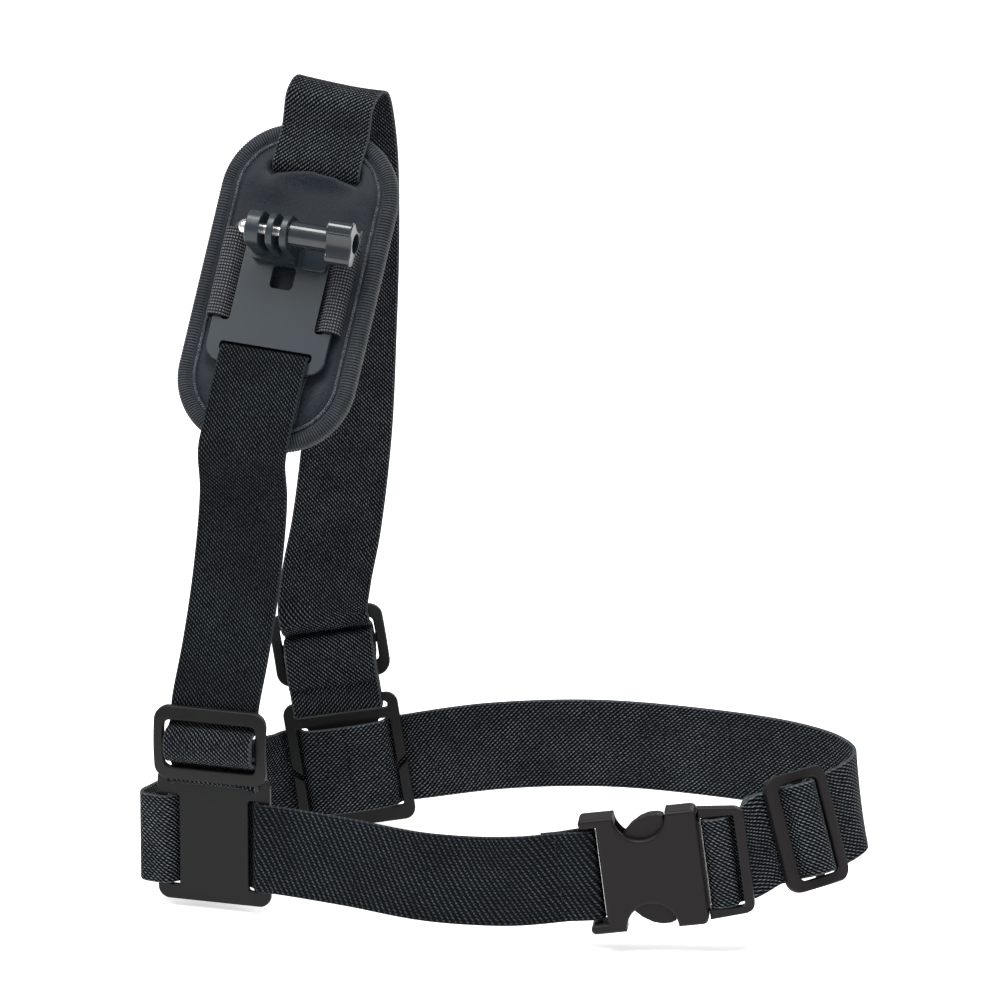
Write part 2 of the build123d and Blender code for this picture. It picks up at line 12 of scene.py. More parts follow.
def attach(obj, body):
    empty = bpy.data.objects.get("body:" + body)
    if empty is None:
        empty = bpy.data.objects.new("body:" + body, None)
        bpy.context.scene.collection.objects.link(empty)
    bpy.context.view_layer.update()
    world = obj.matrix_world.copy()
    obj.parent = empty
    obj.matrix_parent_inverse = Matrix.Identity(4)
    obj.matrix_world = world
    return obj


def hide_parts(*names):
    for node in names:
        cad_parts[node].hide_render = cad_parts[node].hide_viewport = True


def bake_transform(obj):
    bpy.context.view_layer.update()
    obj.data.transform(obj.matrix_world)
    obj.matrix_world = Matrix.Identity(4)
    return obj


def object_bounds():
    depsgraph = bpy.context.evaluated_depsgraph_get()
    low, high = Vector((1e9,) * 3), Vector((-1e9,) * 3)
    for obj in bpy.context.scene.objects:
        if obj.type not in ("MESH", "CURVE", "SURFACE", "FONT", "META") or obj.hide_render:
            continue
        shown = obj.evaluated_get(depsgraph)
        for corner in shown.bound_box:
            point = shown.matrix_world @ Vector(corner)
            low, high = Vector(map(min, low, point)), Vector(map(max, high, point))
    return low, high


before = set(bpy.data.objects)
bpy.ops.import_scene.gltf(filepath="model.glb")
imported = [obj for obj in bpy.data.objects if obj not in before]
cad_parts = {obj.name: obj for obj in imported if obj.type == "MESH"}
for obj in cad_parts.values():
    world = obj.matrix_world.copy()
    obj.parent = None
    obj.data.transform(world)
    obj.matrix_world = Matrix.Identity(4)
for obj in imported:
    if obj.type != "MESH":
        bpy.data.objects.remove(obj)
CAD_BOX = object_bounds()

MM = 0.001
# Places are measured in millimetres from the belt's left turn, as in the CAD source, and moved
# so that the shoulder saddle is the origin.
SADDLE = np.array((55.0, 94.0, 297.7))

# Webbing and pad sizes, all in millimetres. IN is how far in from the pad's edge, and a BOW is how
# much an edge of the slit rises at its middle.
WEB_W = 38.0
WEB_T = 1.6
GRIP_W = 38.0
GRIP_T = 1.4
PAD_W = 75.5
PAD_H = 137.5
PAD_R = 30.0
PAD_T = 5.5
RIB_PITCH = 1.2
RIB_HEIGHT = 0.42
RIB_ROUNDNESS = 0.6
RIB_SINK = 0.8
CORD_PITCH = 1.3
CORD_HEIGHT = 0.36
CORD_SINK = 0.22
DASH_PITCH = 1.05
DASH_HEIGHT = 0.05
TOPSTITCH_IN = 7.4
TOPSTITCH_PITCH = 2.2
MOUNT_X = -1.0
GRIP_Y = 1.0
SLIT_X = 1.0
SLIT_HALF = 19.6
SLIT_LOW, SLIT_LOW_BOW = 45.2, 2.2
SLIT_HIGH, SLIT_HIGH_BOW = 50.8, 1.2
SLIT_FLOOR = -0.4
SLIT_POINTS = 28


# ---------------------------------------------------------------- planes and paths

class Plane:
    """A fitting's own plane: x along its belt run, y up across it, z to the harness's outside."""

    def __init__(self, origin, x, z):
        self.o, self.x, self.z = origin, x, z
        self.y = np.cross(z, x)

    def at(self, x, y, z):
        return self.o + self.x * x + self.y * y + self.z * z


def stance(x, y, z, yaw=0.0, rise=0.0, lean=0.0):
    """The plane of a fitting whose middle is at x, y, z, turned by degrees of yaw, rise and lean."""
    turn, climb, tip = (math.radians(v) for v in (yaw, rise, lean))
    along = np.array(
        (math.cos(turn) * math.cos(climb), math.sin(turn) * math.cos(climb), math.sin(climb))
    )
    upright = np.array(
        (-math.cos(turn) * math.sin(climb), -math.sin(turn) * math.sin(climb), math.cos(climb))
    )
    outward = np.cross(along, upright) * math.cos(tip) + upright * math.sin(tip)
    return Plane(np.array((x, y, z)) - SADDLE, along, outward)


def turned(plane):
    """The same plane with its x down, for a fitting whose slots stand across the belt."""
    return Plane(plane.o, -plane.y, plane.z)


FRONT_HOOK = stance(29.0, -1.0, 0.0)
FRONT_SLIDER = stance(29.8, -8.2, 42.6)
PAD = stance(42.0, 58.0, 221.0, rise=-4.5, lean=30.0)
REAR_HOOK = stance(49.0, 112.0, 0.0, yaw=195.0, rise=-9.0)
REAR_SLIDER = stance(38.5, 116.8, 51.4, yaw=195.0, rise=-9.0)
BUCKLE = stance(195.6, 0.0, 3.0, yaw=13.0, rise=7.5)
BELT_SLIDER = turned(stance(271.2, 38.4, 17.4, yaw=55.0, rise=3.0, lean=20.0))

PLATE_WEAVE = [(-27, 2.5), (-19.6, 2.5), (-15.4, -2.5), (15.4, -2.5), (19.6, 2.5), (27, 2.5)]
GRIP_WEAVE = [(-27.9, 3.2), (-27.7, 7.2), (-26.2, 8.6), (-22.6, 8.6), (-18.6, 4.3)]
SLIDER_BIGHT = [
    (16, -5.4), (10.4, -4.8), (7.2, -1.5), (5.9, 2.6), (3.1, 4.9), (-3.1, 4.9),
    (-5.9, 2.6), (-7.2, -1.5), (-10.4, -4.8), (-12.8, -4.9),
]
SLIDER_SEWN = [
    (-12.6, -9.6), (-9.8, -8.8), (-5.2, -3.4), (-3.9, -1.0), (-3.4, 0.9), (-2.0, 2.0), (2.0, 2.0),
    (3.4, 0.9), (3.8, -1.0), (3.0, -3.6), (0.6, -6.0), (-4.2, -8.2), (-9.4, -11.0), (-15, -11.4),
]
HOOK_TURN = [(27.6, 2.5), (25.5, 2.2), (24.6, 0), (25.5, -2.2), (27.6, -2.5)]
PLUG_WRAP = [
    (58.5, -4.4), (54.2, -2.6), (52.4, 1.5), (49.6, 2.95), (45.6, 2.95),
    (43.5, 1.4), (43.2, -1.5), (44.6, -4.6), (48, -6.0), (58.5, -6.9),
]
SOCKET_FOLD = [
    (-30, 0.95), (-16, 0.95), (-9.5, 2.2), (-4.2, 2.85), (-2.1, 1.95), (-1.4, 0),
    (-2.1, -1.95), (-4.2, -2.85), (-9.5, -2.2), (-16, -0.95), (-23, -0.95),
]
MOUNT_LOOP = [
    (-57, 6.3), (-46, 6.2), (-41, 5.6), (-36, 4.2), (-31.0, 4.4), (-29.6, 6.4), (-31.0, 8.4),
    (-34, 8.8), (-42, 8.7), (-54, 8.6), (-64, 8.0), (-74, 6.2),
]
SLIT_RUN = [
    (0.9, 36, -0.5), (0.9, 43.6, -0.5), (1.0, 46.6, 0.4), (1.1, 49.0, 3.0), (1.3, 51.8, 4.8),
    (1.5, 57, 5.4), (2.0, 66, 5.8),
]
FRONT_FREE = [
    (36.0, 18.0, 143, (0.999, 0, -0.04)), (34.2, 14.5, 111, (1, 0, -0.02)), (32.6, 5.0, 82, (1, 0, 0)),
]
REAR_FREE = [
    (54.2, 106.0, 272, (0.998, 0, -0.06)), (53.0, 111.0, 235, (0.999, 0.02, 0)),
    (50.0, 115.0, 190, (0.995, 0.08, 0.05)), (47.0, 116.5, 145, (0.985, 0.14, 0.09)),
    (43.0, 113.5, 105, (0.97, 0.2, 0.12)), (39.4, 111.0, 83, (0.96, 0.24, 0.14)),
]
BELT_FRONT = [
    (148, -5.2, -4.0, (-0.07, 0, 1)), (120, -6.2, -4.4, (-0.02, 0, 1)), (88, -4.6, -2.2, (0, 0, 1)),
]
LEFT_TURN = [
    (-1.6, -2.4, -0.6, (0, 0, 1)), (-3.4, 1.5, -0.6, (0, 0, 1)), (-2.6, 8.0, -0.8, (0, 0, 1)),
    (4.0, 45.0, -2.0, (0, 0, 1)), (12.0, 82.0, -3.5, (0.03, 0, 1)), (17.5, 101.0, -4.6, (0.1, 0, 1)),
]
BELT_REAR = [
    (112, 118, 13, (-0.12, 0, 1)), (158, 117, 19, (-0.04, 0, 1)), (205, 113, 21, (0, 0, 1)),
    (245, 104, 22, (0, 0, 1)), (269, 92, 22, (-0.05, 0, 1)), (281, 78, 21.5, (-0.12, 0.02, 1)),
    (282.6, 65, 20.0, (-0.22, 0.08, 1)),
]
# Degrees round the arch over the shoulder, from behind to in front, and x there
ARCH_RISE = ((165, 50.2), (140, 50.8), (115, 51.3), (90, 51.8), (65, 52.2), (40, 52.7), (15, 53.1))
ARCH_Y, ARCH_Z, ARCH_R = 94.0, 290.5, 8.0
ARCH_ACROSS = (0.991, 0, -0.13)
ARCH = [
    (x, ARCH_Y + ARCH_R * math.cos(r), ARCH_Z + ARCH_R * math.sin(r), ARCH_ACROSS)
    for x, r in ((x, math.radians(d)) for d, x in ARCH_RISE)
]


def up_run(plane, profile, shift=0.0):
    """Stations up a fitting's plane from (y, z) points. A station is a point and the way across."""
    return [(plane.at(shift, y, z), plane.x) for y, z in profile]


def side_run(plane, profile, shift=0.0):
    """Stations along a fitting's plane from (x, z) points."""
    return [(plane.at(x, shift, z), plane.y) for x, z in profile]


def free_run(points):
    return [(np.array((x, y, z)) - SADDLE, np.array(a, float)) for x, y, z, a in points]


def flipped(stations):
    return [(p, -a) for p, a in stations]


# ---------------------------------------------------------------- materials

# Material numbers that aren't millimetres are the shader's own. Noise scales and bump depths are
# per metre and in metres.
SHEEN_ROUGHNESS = 0.4
NOISE_ROUGHNESS = 0.55
# The part of 0 to 1 that a noise texture mostly stays in
NOISE_LOW, NOISE_HIGH = 0.2, 0.8
# A painted highlight along both edges of the webbing fades in between these distances from the edge
EDGE_HIGHLIGHT_IN, EDGE_HIGHLIGHT_OUT = 0.9, 0.3
# How far the painted edge highlight goes towards the light colour
EDGE_HIGHLIGHT_TONE = 0.25


class Finish:
    """A Principled material and short ways to add nodes to it."""

    def __init__(self, name, colour, roughness, specular=0.5, sheen=0.0, metallic=0.0):
        self.material = bpy.data.materials.new(name)
        self.material.use_nodes = True
        self.tree = self.material.node_tree
        self.shader = self.tree.nodes["Principled BSDF"]
        for socket, value in (
            ("Base Color", (*colour, 1)), ("Roughness", roughness), ("Specular IOR Level", specular),
            ("Sheen Weight", sheen), ("Metallic", metallic),
        ):
            self.shader.inputs[socket].default_value = value
        if sheen:
            self.shader.inputs["Sheen Roughness"].default_value = SHEEN_ROUGHNESS

    def node(self, kind, **settings):
        made = self.tree.nodes.new(kind)
        for key, value in settings.items():
            setattr(made, key, value)
        return made

    def put(self, socket, value):
        if isinstance(value, bpy.types.NodeSocket):
            self.tree.links.new(value, socket)
        else:
            socket.default_value = value

    def math(self, operation, *values):
        made = self.node("ShaderNodeMath", operation=operation)
        for i, value in enumerate(values):
            self.put(made.inputs[i], value)
        return made.outputs[0]

    def times(self, a, b):
        return self.math("MULTIPLY", a, b)

    def plus(self, a, b):
        return self.math("ADD", a, b)

    def cycle(self, turns):
        """A sine of -1 to 1 over each whole turn."""
        return self.math("SINE", self.times(turns, 2 * math.pi))

    def ridge(self, turns):
        """0 at each whole turn and 1 halfway between."""
        return self.math("ABSOLUTE", self.math("SINE", self.times(turns, math.pi)))

    def smooth(self, value, low, high, start=0.0, end=1.0):
        made = self.node("ShaderNodeMapRange", interpolation_type="SMOOTHSTEP")
        for i, v in enumerate((value, low, high, start, end)):
            self.put(made.inputs[i], v)
        return made.outputs[0]

    def noise(self, vector, scale, detail=3.0, stretch=None):
        if stretch:
            mapping = self.node("ShaderNodeMapping")
            mapping.inputs["Scale"].default_value = stretch
            self.put(mapping.inputs["Vector"], vector)
            vector = mapping.outputs[0]
        made = self.node("ShaderNodeTexNoise")
        self.put(made.inputs["Vector"], vector)
        made.inputs["Scale"].default_value = scale
        made.inputs["Detail"].default_value = detail
        made.inputs["Roughness"].default_value = NOISE_ROUGHNESS
        return made.outputs[0]

    def place(self):
        return self.node("ShaderNodeTexCoord").outputs["Object"]

    def weave_axes(self):
        """Millimetres across and along the webbing, from its own surface coordinates."""
        split = self.node("ShaderNodeSeparateXYZ")
        self.put(split.inputs[0], self.node("ShaderNodeTexCoord").outputs["UV"])
        return self.times(split.outputs[0], 1 / MM), self.times(split.outputs[1], 1 / MM)

    def colour(self, factor, dark, light):
        made = self.node("ShaderNodeMix", data_type="RGBA")
        self.put(made.inputs[0], factor)
        made.inputs[6].default_value = (*dark, 1)
        made.inputs[7].default_value = (*light, 1)
        self.put(self.shader.inputs["Base Color"], made.outputs[2])

    def rough(self, factor, low, high):
        self.put(self.shader.inputs["Roughness"], self.smooth(factor, NOISE_LOW, NOISE_HIGH, low, high))

    def bump(self, height, depth, strength=1.0):
        made = self.node("ShaderNodeBump")
        made.inputs["Strength"].default_value = strength
        made.inputs["Distance"].default_value = depth
        self.put(made.inputs["Height"], height)
        self.put(self.shader.inputs["Normal"], made.outputs[0])
        return self.material


def elastic_webbing(name, rib_pitch, float_pitch, slant, light, wave=0.0, across=1.0):
    """Warp ribs of slanted floats, with pitches in millimetres. The floats step on by slant of a
    float with each rib. At an across of 1 dark gaps part them fully, and wave is how far the ribs
    swing to each side, in ribs."""
    f = Finish(name, (0.003, 0.003, 0.004), 0.7, specular=0.035)
    u, v = f.weave_axes()
    sway = f.times(f.noise(f.place(), 120.0, 2.0), 0.3)
    rows = f.math("DIVIDE", u, rib_pitch)
    along = f.math("DIVIDE", v, float_pitch)
    if wave:
        rows = f.plus(rows, f.times(f.cycle(f.plus(along, sway)), wave))
    rib = f.ridge(rows)
    phase = f.plus(along, f.times(u, slant / rib_pitch))
    mask = f.smooth(f.cycle(f.plus(phase, sway)), -0.1, 0.85, 1.0 - across, 1.0)
    grain = f.noise(f.place(), 1500.0, 4.0)
    wide = f.noise(f.place(), 45.0, 2.0)
    fleck = f.times(f.times(mask, f.smooth(rib, 0.2, 0.85)), f.smooth(grain, 0.3, 0.62, 0.1, 1.0))
    fleck = f.times(fleck, f.smooth(wide, 0.25, 0.75, 0.6, 1.0))
    # Painted highlight: both edges of the webbing are coloured lighter
    edge_highlight = f.smooth(f.math("ABSOLUTE", u), WEB_W / 2 - EDGE_HIGHLIGHT_IN, WEB_W / 2 - EDGE_HIGHLIGHT_OUT)
    f.colour(f.math("MAXIMUM", fleck, f.times(edge_highlight, EDGE_HIGHLIGHT_TONE)), (0.0007, 0.0009, 0.0012), light)
    f.rough(grain, 0.55, 0.8)
    height = f.plus(f.times(rib, 0.45), f.times(mask, 0.55))
    return f.bump(f.plus(height, f.times(grain, 0.25)), 0.0004)


def ribbed_webbing():
    """Cords along the run, each crossed by light dashes in line with its neighbours'."""
    f = Finish("ribbed_webbing", (0.006, 0.0065, 0.008), 0.6, specular=0.15)
    u, v = f.weave_axes()
    cord = f.math("ABSOLUTE", f.math("COSINE", f.times(u, math.pi / CORD_PITCH)))
    dash = f.math("SINE", f.times(v, 2 * math.pi / DASH_PITCH))
    grain = f.noise(f.place(), 1800.0)
    light = f.times(f.smooth(dash, -0.5, 0.7, 0.15, 1.0), f.smooth(cord, 0.5, 0.95))
    fleck = f.times(light, f.smooth(grain, 0.25, 0.65, 0.3, 1.0))
    f.colour(fleck, (0.002, 0.0024, 0.003), (0.15, 0.165, 0.185))
    f.rough(grain, 0.45, 0.7)
    return f.bump(f.plus(f.times(dash, cord), f.times(grain, 0.4)), 0.0002, 0.9)


def cloth(name, dark, light, scale, depth, sheen, specular=0.15, rough=0.62):
    """Close cloth or thread: a fine fuzz of the given scale and bump depth, unevenly light."""
    f = Finish(name, dark, 0.72, specular=specular, sheen=sheen)
    place = f.place()
    fine = f.noise(place, scale, 4.0)
    wide = f.noise(place, 60.0, 2.0)
    patches = f.smooth(wide, NOISE_LOW, NOISE_HIGH, 0.55, 1.0)
    f.colour(f.times(f.smooth(fine, 0.3, 0.75), patches), dark, light)
    f.rough(fine, rough, rough + 0.2)
    return f.bump(fine, depth, 0.7)


def tape(name, dark, light):
    """Knitted tape with a painted highlight along the tops of its ribs. The second surface coordinate
    counts ribs.
    """
    f = Finish(name, dark, 0.72, specular=0.15, sheen=0.1)
    split = f.node("ShaderNodeSeparateXYZ")
    f.put(split.inputs[0], f.node("ShaderNodeTexCoord").outputs["UV"])
    top = f.ridge(split.outputs[1])
    fine = f.noise(f.place(), 1900.0, 4.0)
    wide = f.noise(f.place(), 70.0, 2.0)
    # Painted highlight: the tops of the ribs are coloured lighter, broken up by fine grain
    rib_highlight = f.times(f.smooth(top, 0.35, 0.95), f.smooth(fine, 0.25, 0.7, 0.35, 1.0))
    f.colour(f.times(rib_highlight, f.smooth(wide, 0.25, 0.75, 0.55, 1.0)), dark, light)
    f.rough(fine, 0.6, 0.82)
    return f.bump(fine, 0.00014, 0.8)


def plastic(name, dark, light, roughness, grain_scale, grain_depth, specular):
    """Moulded plastic: faint mottling, grain and a roughness that varies with handling."""
    f = Finish(name, dark, roughness[0], specular=specular)
    place = f.place()
    wide = f.noise(place, 90.0)
    grain = f.noise(place, grain_scale)
    f.colour(f.plus(f.times(wide, 0.6), f.times(grain, 0.4)), dark, light)
    f.rough(f.plus(f.times(wide, 0.7), f.times(grain, 0.3)), *roughness)
    return f.bump(grain, grain_depth, 0.6)


def bright_steel():
    """Plated steel with fine streaks along x."""
    f = Finish("plated_steel", (0.78, 0.78, 0.77), 0.2, metallic=1.0)
    brushed = f.noise(f.place(), 900.0, 2.0, stretch=(0.1, 1.0, 1.0))
    f.colour(brushed, (0.62, 0.62, 0.62), (0.86, 0.86, 0.85))
    f.rough(brushed, 0.12, 0.28)
    return f.bump(brushed, 0.00001, 0.4)


WEBBING = elastic_webbing(
    "elastic_webbing", rib_pitch=0.98, float_pitch=1.75, slant=-0.52, light=(0.125, 0.143, 0.163),
)
# The same webbing with a darker light colour, for the front strap: painted shade, a shaded copy of
# elastic_webbing
SHADED_WEBBING = elastic_webbing(
    "elastic_webbing_painted_shade", rib_pitch=0.98, float_pitch=1.75, slant=-0.52, light=(0.056, 0.068, 0.08),
)
BELTING = elastic_webbing(
    "elastic_belting", rib_pitch=1.05, float_pitch=2.1, slant=-0.62, light=(0.15, 0.172, 0.196),
)
OUTER_BELTING = elastic_webbing(
    "elastic_outer_belting", rib_pitch=1.3, float_pitch=2.4, slant=-0.3, light=(0.058, 0.07, 0.083),
    wave=0.2, across=0.92,
)
RIBBED = ribbed_webbing()
PAD_CLOTH = cloth(
    "pad_cloth", (0.002, 0.0036, 0.006), (0.0105, 0.016, 0.0235),
    scale=1500.0, depth=0.00016, sheen=0.06, specular=0.16, rough=0.46,
)
# The light colour is mostly the painted highlight on the rib tops
BINDING = tape("binding_tape", (0.0014, 0.002, 0.0028), (0.04, 0.049, 0.06))
THREAD = cloth(
    "stitching", (0.006, 0.008, 0.011), (0.105, 0.118, 0.135), scale=1500.0, depth=0.00012, sheen=0.05,
)
SEAM_THREAD = cloth(
    "seam_stitching", (0.001, 0.0013, 0.0018), (0.02, 0.023, 0.027),
    scale=1500.0, depth=0.00012, sheen=0.03,
)
SATIN = plastic(
    "satin_plastic", (0.005, 0.005, 0.0053), (0.009, 0.009, 0.0095),
    roughness=(0.32, 0.46), grain_scale=900.0, grain_depth=0.00002, specular=0.13,
)
GRAINED = plastic(
    "grained_plastic", (0.0055, 0.0043, 0.005), (0.0105, 0.0085, 0.0095),
    roughness=(0.38, 0.52), grain_scale=1600.0, grain_depth=0.00006, specular=0.13,
)
GLOSS = plastic(
    "gloss_plastic", (0.007, 0.0095, 0.012), (0.013, 0.0175, 0.0215),
    roughness=(0.1, 0.2), grain_scale=500.0, grain_depth=0.000012, specular=0.5,
)
SHEEN = plastic(
    "polished_plate", (0.01, 0.0155, 0.02), (0.0125, 0.0185, 0.024),
    roughness=(0.3, 0.31), grain_scale=700.0, grain_depth=0.000004, specular=0.36,
)
STEEL = bright_steel()

for node, finish in (
    ("front_hook_plate", SATIN), ("rear_hook_plate", SATIN),
    ("front_slider", SATIN), ("rear_slider", SATIN), ("belt_slider", GRAINED),
    ("buckle_socket", GRAINED), ("buckle_plug", GRAINED),
    ("latch_arm_upper", GRAINED), ("latch_arm_lower", GRAINED), ("mount_plate", SHEEN),
    ("screw_knob", GLOSS), ("screw_shank", STEEL), ("cap_nut", STEEL),
):
    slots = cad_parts[node].data.materials
    slots.clear()
    slots.append(finish)


# ---------------------------------------------------------------- meshes

def piece_from(name, vertices, faces, finish, coords=None):
    """A mesh object from millimetre points, with its normals turned outward."""
    mesh = bpy.data.meshes.new(name)
    mesh.from_pydata([tuple(v) for v in np.asarray(vertices) * MM], [], faces)
    if coords is not None:
        layer = mesh.uv_layers.new(name="weave")
        for loop in mesh.loops:
            layer.data[loop.index].uv = coords[loop.vertex_index]
    work = bmesh.new()
    work.from_mesh(mesh)
    bmesh.ops.recalc_face_normals(work, faces=work.faces)
    work.to_mesh(mesh)
    work.free()
    mesh.shade_smooth()
    mesh.materials.append(finish)
    made = bpy.data.objects.new(name, mesh)
    bpy.context.scene.collection.objects.link(made)
    return made


def loft(rings, closed=False):
    """Vertices and quads that join equal rings of points, with both ends capped unless it closes."""
    count, size = len(rings), len(rings[0])
    vertices = np.concatenate(rings)
    faces = []
    for i in range(count if closed else count - 1):
        j = (i + 1) % count
        for k in range(size):
            m = (k + 1) % size
            faces.append((i * size + k, i * size + m, j * size + m, j * size + k))
    if not closed:
        faces.append(tuple(range(size))[::-1])
        faces.append(tuple((count - 1) * size + k for k in range(size)))
    return vertices, faces


def catmull(points, step):
    """A centripetal spline through the points, and the index in it of each point."""
    p = np.array(points, float)
    p = np.vstack([2 * p[0] - p[1], p, 2 * p[-1] - p[-2]])
    line, at = [], []
    for i in range(1, len(p) - 2):
        a, b, c, d = p[i - 1 : i + 3]
        t = np.cumsum([0.0] + [np.linalg.norm(n - m) ** 0.5 for m, n in ((a, b), (b, c), (c, d))])
        count = max(2, math.ceil(np.linalg.norm(c - b) / step))
        at.append(len(line))
        for q in np.linspace(t[1], t[2], count, endpoint=False):
            ab = ((t[1] - q) * a + (q - t[0]) * b) / (t[1] - t[0])
            bc = ((t[2] - q) * b + (q - t[1]) * c) / (t[2] - t[1])
            cd = ((t[3] - q) * c + (q - t[2]) * d) / (t[3] - t[2])
            abc = ((t[2] - q) * ab + (q - t[0]) * bc) / (t[2] - t[0])
            bcd = ((t[3] - q) * bc + (q - t[1]) * cd) / (t[3] - t[1])
            line.append(((t[2] - q) * abc + (q - t[1]) * bcd) / (t[2] - t[1]))
    at.append(len(line))
    line.append(p[-2])
    return np.array(line), at


TINY = 1e-9


def unit(v):
    return v / np.maximum(np.linalg.norm(v, axis=-1, keepdims=True), TINY)


def bell(distance, width):
    return np.exp(-((distance / width) ** 2))


class Strap:
    """One length of webbing along a chain of stations, cut into pieces that share their end sections.

    For each sample along it, p is the middle, t the way along, a the way across, n the way through
    and s the length so far. at is the sample of each station."""

    def __init__(self, stations, width=WEB_W, thick=WEB_T, step=1.1, columns=26):
        self.width, self.thick, self.columns = width, thick, columns
        self.p, self.at = catmull([p for p, a in stations], step)
        sides = np.array([a for p, a in stations])
        ticks = np.interp(np.arange(len(self.p)), self.at, np.arange(len(self.at)))
        numbers = np.arange(len(sides))
        side = np.stack([np.interp(ticks, numbers, sides[:, k]) for k in range(3)], axis=1)
        self.t = unit(np.gradient(self.p, axis=0))
        self.a = unit(side - self.t * (side * self.t).sum(1, keepdims=True))
        self.n = np.cross(self.t, self.a)
        self.s = np.concatenate([[0], np.cumsum(np.linalg.norm(np.diff(self.p, axis=0), axis=1))])

    def section(self):
        """(across, through) points round a section: flat faces, a little fuller near each edge, and
        round edges.
        """
        half, h = self.width / 2 - self.thick / 2, self.thick / 2
        across = np.linspace(-half, half, self.columns)
        rise = h * (1 + 0.1 * bell(np.abs(across) - half + 0.5, 0.7))
        arc = [(half + h * math.cos(r), h * math.sin(r)) for r in np.radians((55, 20, -20, -55))]
        top = list(zip(across, rise))
        low = [(-u, -t) for u, t in top]
        return np.array(top + arc + low + [(-u, -t) for u, t in arc])

    def length(self, first, last):
        return float(self.s[last] - self.s[first])

    def piece(self, name, first, last, finish, relief):
        shape = self.section()
        rings = []
        for i in range(first, last + 1):
            through = shape[:, 1:]
            if relief:
                through = through + np.sign(through) * relief(shape[:, :1], self.s[i])
            rings.append(self.p[i] + self.a[i] * shape[:, :1] + self.n[i] * through)
        vertices, faces = loft(rings)
        coords = [(u * MM, self.s[i] * MM) for i in range(first, last + 1) for u in shape[:, 0]]
        return piece_from(name, vertices, faces, finish, coords)

    def on(self, s, u, lift):
        """A point on the webbing: s along, u across, and lift from its middle surface."""
        i = int(np.clip(np.searchsorted(self.s, s), 1, len(self.s) - 1))
        k = (s - self.s[i - 1]) / (self.s[i] - self.s[i - 1])
        p = self.p[i - 1] * (1 - k) + self.p[i] * k
        return p + self.a[i] * u + self.n[i] * lift


def tube(points, radius, sides, up, closed=False):
    """Rings of a round tube along points; up is any direction that the tube doesn't run along."""
    p = np.array(points, float)
    if closed:
        t = unit(np.roll(p, -1, axis=0) - np.roll(p, 1, axis=0))
    else:
        t = unit(np.gradient(p, axis=0))
    x = unit(np.cross(t, up))
    y = np.cross(t, x)
    r = np.broadcast_to(radius, (len(p),))
    angles = np.linspace(0, 2 * math.pi, sides, endpoint=False)
    cosines, sines = np.cos(angles)[:, None], np.sin(angles)[:, None]
    return [p[i] + r[i] * (cosines * x[i] + sines * y[i]) for i in range(len(p))]


def joined(name, parts, finish):
    """One mesh object from several (vertices, faces)."""
    vertices, faces, base = [], [], 0
    for v, f in parts:
        vertices.append(v)
        faces += [tuple(base + k for k in face) for face in f]
        base += len(v)
    return piece_from(name, np.concatenate(vertices), faces, finish)


STITCH = 2.3
STITCH_GAP = 0.75
STITCH_R = 0.3
STITCH_RISE = 0.35
STITCH_SINK = 0.35
SEAM_MARGIN = 2.0


def stitch(a, b, normal):
    """One thread from a to b that rises off the cloth between its two holes."""
    q = np.linspace(0, 1, 7)
    arch = np.sin(math.pi * q)
    lift = STITCH_RISE * arch - STITCH_SINK * (1 - arch)
    line = a + (b - a) * q[:, None] + normal * lift[:, None]
    return loft(tube(line, STITCH_R * (0.7 + 0.3 * arch), 6, up=normal + 0.01))


def row_across(strap, s, side):
    """Stitches across a strap's surface at s along it; side is +1 or -1 for which face."""
    half = strap.width / 2 - SEAM_MARGIN
    count = max(1, int(2 * half // (STITCH + STITCH_GAP)))
    i = int(np.clip(np.searchsorted(strap.s, s), 1, len(strap.s) - 1))
    lift = side * strap.thick / 2
    starts = [(k + 0.5) * 2 * half / count - STITCH / 2 - half for k in range(count)]
    return [
        stitch(strap.on(s, u, lift), strap.on(s, u + STITCH, lift), strap.n[i] * side) for u in starts
    ]


# ---------------------------------------------------------------- straps

# How far a run is off the middle of its fitting
BIGHT_SHIFT = 0.6
LOOP_SHIFT = 0.8
BELT_DROP = -0.6

front = Strap(
    up_run(PAD, MOUNT_LOOP, MOUNT_X) + free_run(FRONT_FREE)
    + up_run(FRONT_SLIDER, SLIDER_BIGHT, BIGHT_SHIFT) + up_run(FRONT_HOOK, HOOK_TURN, LOOP_SHIFT)
    + up_run(FRONT_SLIDER, SLIDER_SEWN)
)
shoulder = Strap(
    [(PAD.at(x, y, z), PAD.x) for x, y, z in SLIT_RUN] + free_run(ARCH) + free_run(REAR_FREE)
    + flipped(
        up_run(REAR_SLIDER, SLIDER_BIGHT) + up_run(REAR_HOOK, HOOK_TURN, LOOP_SHIFT)
        + up_run(REAR_SLIDER, SLIDER_SEWN)
    )
)
front_crossing = side_run(FRONT_HOOK, PLATE_WEAVE, BELT_DROP)[::-1]
rear_crossing = side_run(REAR_HOOK, PLATE_WEAVE, BELT_DROP)[::-1]
belt = Strap(
    side_run(BUCKLE, SOCKET_FOLD)[::-1] + free_run(BELT_FRONT) + front_crossing + free_run(LEFT_TURN)
    + rear_crossing + free_run(BELT_REAR)
    + flipped(up_run(BELT_SLIDER, SLIDER_BIGHT + [(-17, -5.4)])) + side_run(BUCKLE, PLUG_WRAP)
    + flipped(up_run(BELT_SLIDER, [(-17, -10.2)] + SLIDER_SEWN))
)
grip = Strap(
    [(PAD.at(MOUNT_X + x, GRIP_Y, z), PAD.y) for x, z in GRIP_WEAVE]
    + [(PAD.at(MOUNT_X - x, GRIP_Y, z), PAD.y) for x, z in reversed(GRIP_WEAVE)],
    GRIP_W, GRIP_T, step=0.26, columns=190,
)


